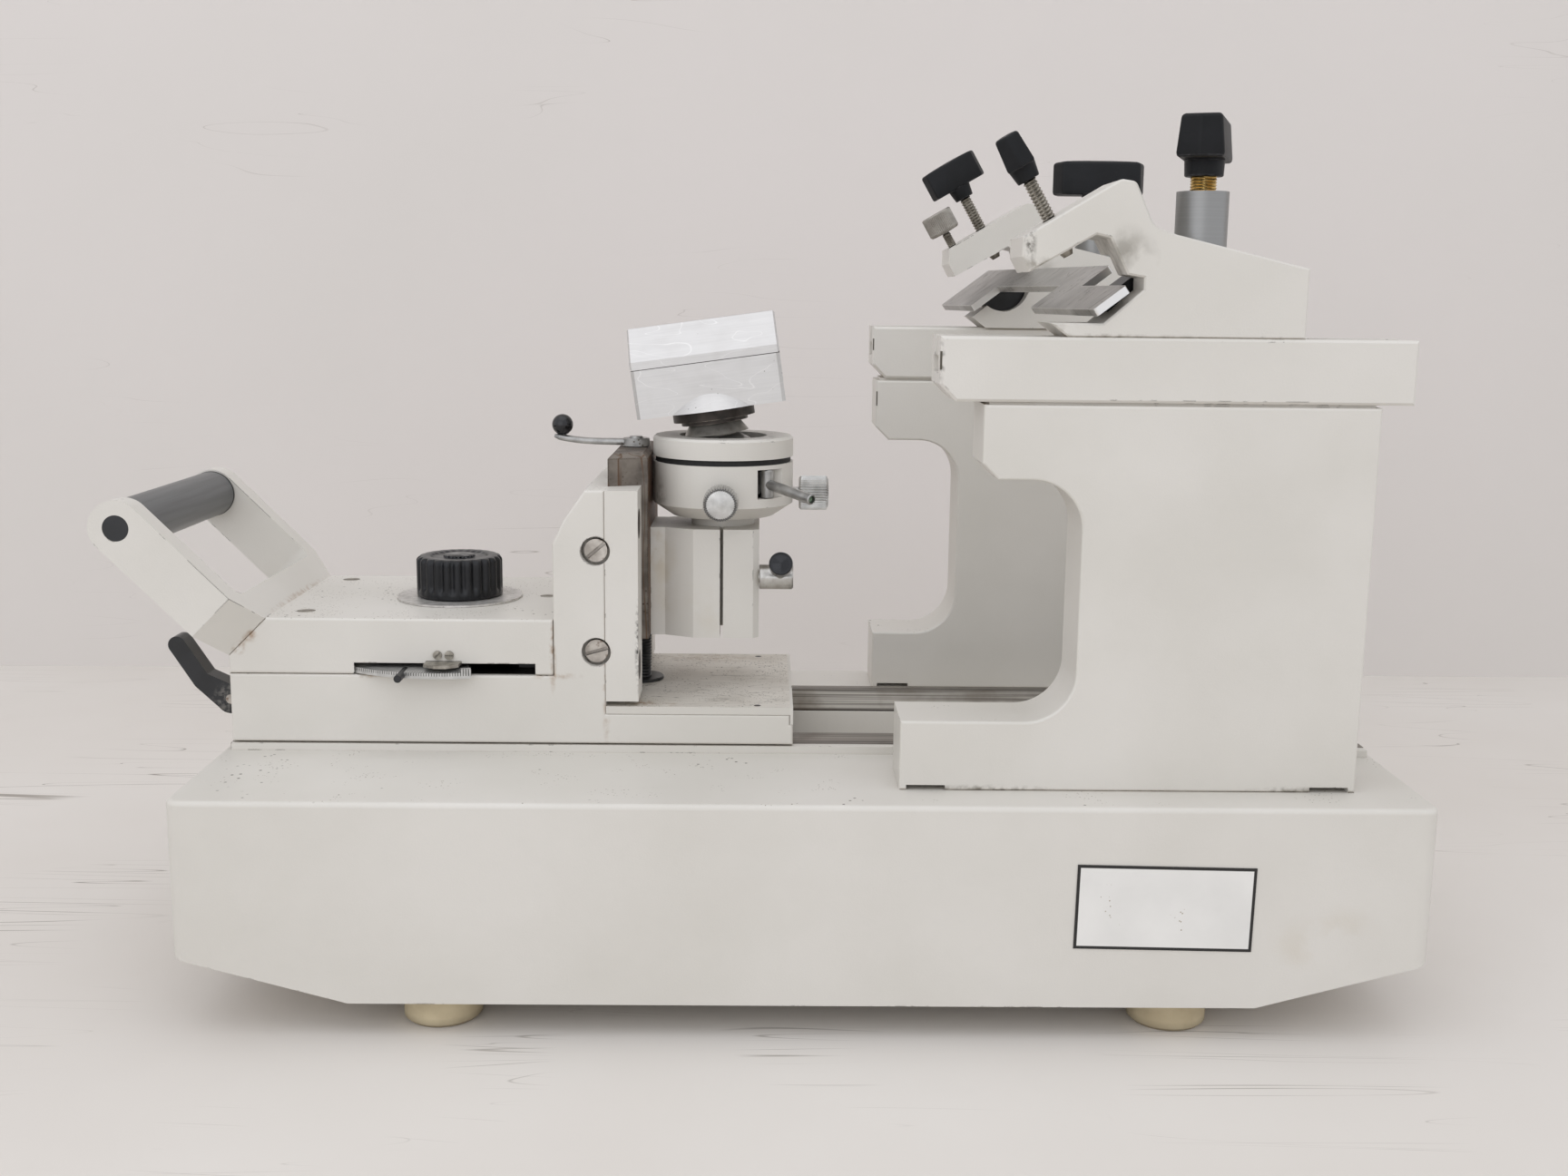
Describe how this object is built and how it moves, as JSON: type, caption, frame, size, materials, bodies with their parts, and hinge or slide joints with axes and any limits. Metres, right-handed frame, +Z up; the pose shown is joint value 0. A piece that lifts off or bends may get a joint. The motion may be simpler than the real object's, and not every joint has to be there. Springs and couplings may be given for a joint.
{
  "type": "sledge microtome",
  "caption": "Bench sledge microtome: a specimen head on a sliding sledge passes under a knife held on two towers, with a fine feed knob, a tilting vise and clamps.",
  "frame": {"origin": "on the table, under the middle of the machine's overall box", "axes": "+X along the bed, from the handle towards the towers; +Y away from the operator; +Z up"},
  "size_m": [0.7659, 0.337, 0.5081],
  "materials": {
    "powder_coat": "speckled powder coat",
    "beige_rubber": "matte",
    "rail_steel": "oily ground steel",
    "satin_steel": "satin",
    "dark_steel": "dark rusty steel",
    "black_plastic": "matte",
    "black_steel": "black oxide",
    "grip_plastic": "matte",
    "brass": "satin",
    "aluminium": "brushed",
    "black_rubber": "matte",
    "white_plate": "matt enamel, bare"
  },
  "bodies": {
    "base": {"base_casting": "powder_coat", "bottom_cover": "powder_coat", "rubber_feet": "beige_rubber", "bed_rails": "rail_steel", "near_tower": "powder_coat", "far_tower": "powder_coat", "near_top_rail": "powder_coat", "far_top_rail": "powder_coat", "frame_bolts": "satin_steel", "nameplate": "white_plate"},
    "sledge": {"sledge_body": "powder_coat", "sledge_runners": "rail_steel", "platform_plate": "satin_steel", "platform_end_cap": "powder_coat", "feed_housing": "powder_coat", "housing_screws": "satin_steel", "index_pointer": "satin_steel", "handle": "powder_coat", "grip_tube": "grip_plastic", "grip_rod": "black_plastic", "near_gib": "powder_coat", "far_gib": "powder_coat", "gib_screws": "satin_steel", "lever_pin": "satin_steel"},
    "feed_lever": {"feed_lever": "black_plastic"},
    "feed_knob": {"feed_knob": "black_plastic", "feed_dial": "satin_steel"},
    "thickness_ring": {"thickness_ring": "satin_steel", "ring_pin": "black_plastic"},
    "lift_spindle": {"lift_spindle": "black_steel"},
    "lift": {"lift_slide": "dark_steel", "clamp_block": "powder_coat"},
    "slide_lock": {"slide_lock_lever": "satin_steel", "slide_lock_ball": "black_plastic"},
    "clamp_bolt": {"clamp_bolt": "satin_steel"},
    "head": {"head_drum": "powder_coat", "head_gasket": "black_rubber", "head_cover": "powder_coat"},
    "head_lock": {"head_lock_lever": "satin_steel"},
    "front_tilt": {"front_tilt_screw": "satin_steel"},
    "side_tilt": {"side_tilt_screw": "satin_steel"},
    "gimbal": {"gimbal_ring": "satin_steel"},
    "vise": {"swivel_ball": "satin_steel", "vise_flange": "black_steel", "vise_body": "aluminium", "rear_jaw": "aluminium"},
    "front_jaw": {"front_jaw": "aluminium"},
    "jaw_screw": {"jaw_screw": "satin_steel"},
    "knife_carriage": {"near_knife_block": "powder_coat", "far_knife_block": "powder_coat", "clamp_sleeves": "satin_steel", "clamp_spindles": "brass"},
    "near_clamp": {"near_clamp_knob": "black_plastic"},
    "far_clamp": {"far_clamp_knob": "black_plastic"},
    "near_knife_screw": {"near_knife_screw": "black_plastic"},
    "far_knife_screw": {"far_knife_screw": "black_plastic"},
    "thumb_screw": {"thumb_screw": "satin_steel"},
    "knife_cradle": {"knife_tray": "satin_steel", "tray_rockers": "black_steel"}
  },
  "joints": [
    {"name": "sledge_slide", "type": "slide", "parent": "base", "child": "sledge", "axis": [1, 0, 0], "range_m": [0, 0.33]},
    {"name": "feed_lever_turn", "type": "hinge", "parent": "sledge", "child": "feed_lever", "pos_m": [-0.3215, -0.025, 0.159], "axis": [0, 1, 0], "range_deg": [-18, 12]},
    {"name": "feed_knob_turn", "type": "hinge", "parent": "sledge", "child": "feed_knob", "pos_m": [-0.1865, 0.01375, 0.218], "axis": [0, 0, 1], "range_deg": [-3240, 1800]},
    {"name": "ring_turn", "type": "hinge", "parent": "sledge", "child": "thickness_ring", "pos_m": [-0.1865, 0.01375, 0.185], "axis": [0, 0, 1], "range_deg": [-15, 24]},
    {"name": "lift_spindle_turn", "type": "hinge", "parent": "sledge", "child": "lift_spindle", "pos_m": [-0.071, 0.01375, 0.165], "axis": [0, 0, 1], "range_deg": [-3240, 1800]},
    {"name": "lift_move", "type": "slide", "parent": "sledge", "child": "lift", "axis": [0, 0, 1], "range_m": [-0.018, 0.01]},
    {"name": "slide_lock_turn", "type": "hinge", "parent": "lift", "child": "slide_lock", "pos_m": [-0.073, 0.01375, 0.315], "axis": [0, 0, 1], "range_deg": [-60, 60]},
    {"name": "clamp_bolt_turn", "type": "hinge", "parent": "lift", "child": "clamp_bolt", "pos_m": [0.0051, -0.0127, 0.2356], "axis": [1, 0, 0], "range_deg": [-35, 75]},
    {"name": "head_turn", "type": "hinge", "parent": "lift", "child": "head", "pos_m": [-0.018, 0.01375, 0.272], "axis": [0, 0, 1], "range_deg": [-30, 100]},
    {"name": "head_lock_turn", "type": "hinge", "parent": "head", "child": "head_lock", "pos_m": [0.01, -0.0165, 0.2945], "axis": [0, 0, 1], "range_deg": [-25, 30]},
    {"name": "front_tilt_turn", "type": "hinge", "parent": "head", "child": "front_tilt", "pos_m": [-0.018, -0.031, 0.2855], "axis": [0, -1, 0], "range_deg": [0, 1440]},
    {"name": "side_tilt_turn", "type": "hinge", "parent": "head", "child": "side_tilt", "pos_m": [0.026, 0.01375, 0.2855], "axis": [1, 0, 0], "range_deg": [-720, 720]},
    {"name": "gimbal_tilt", "type": "hinge", "parent": "head", "child": "gimbal", "pos_m": [-0.018, 0.01375, 0.292], "axis": [0, 1, 0], "range_deg": [0, 16]},
    {"name": "vise_tilt", "type": "hinge", "parent": "gimbal", "child": "vise", "pos_m": [-0.018, 0.01375, 0.292], "axis": [0.9903, 0, 0.1392], "range_deg": [-8, 8]},
    {"name": "jaw_screw_turn", "type": "hinge", "parent": "vise", "child": "jaw_screw", "pos_m": [-0.02719, 0.01375, 0.35736], "axis": [0, 1, 0], "range_deg": [0, 3456]},
    {"name": "front_jaw_slide", "type": "slide", "parent": "vise", "child": "front_jaw", "axis": [0, 1, 0], "range_m": [-0.012, 0]},
    {"name": "carriage_slide", "type": "slide", "parent": "base", "child": "knife_carriage", "axis": [1, 0, 0], "range_m": [-0.03, 0.05]},
    {"name": "near_clamp_turn", "type": "hinge", "parent": "knife_carriage", "child": "near_clamp", "pos_m": [0.2453, -0.111, 0.475], "axis": [0, 0, 1], "range_deg": [-180, 180]},
    {"name": "far_clamp_turn", "type": "hinge", "parent": "knife_carriage", "child": "far_clamp", "pos_m": [0.2365, 0.135, 0.467], "axis": [0, 0, 1], "range_deg": [-180, 180]},
    {"name": "near_knife_screw_turn", "type": "hinge", "parent": "knife_carriage", "child": "near_knife_screw", "pos_m": [0.1623, -0.109, 0.4518], "axis": [-0.5, 0, 0.866], "range_deg": [-180, 180]},
    {"name": "far_knife_screw_turn", "type": "hinge", "parent": "knife_carriage", "child": "far_knife_screw", "pos_m": [0.1562, 0.133, 0.4557], "axis": [-0.5, 0, 0.866], "range_deg": [-180, 180]},
    {"name": "thumb_screw_turn", "type": "hinge", "parent": "knife_carriage", "child": "thumb_screw", "pos_m": [0.1354, 0.125, 0.4447], "axis": [-0.5, 0, 0.866], "range_deg": [-180, 180]},
    {"name": "cradle_tilt", "type": "hinge", "parent": "knife_carriage", "child": "knife_cradle", "pos_m": [0.1697, 0.112, 0.4172], "axis": [-0.1616, 0.9869, 0], "range_deg": [-5, 5]}
  ],
  "couplings": [
    {"joint": "feed_knob_turn", "follows": "lift_move", "rad_per_m": 3141.6},
    {"joint": "lift_spindle_turn", "follows": "lift_move", "rad_per_m": 3141.6},
    {"joint": "gimbal_tilt", "follows": "front_tilt_turn", "ratio": 0.011111},
    {"joint": "vise_tilt", "follows": "side_tilt_turn", "ratio": 0.011111},
    {"joint": "front_jaw_slide", "follows": "jaw_screw_turn", "m_per_rad": -0.00019894}
  ]
}
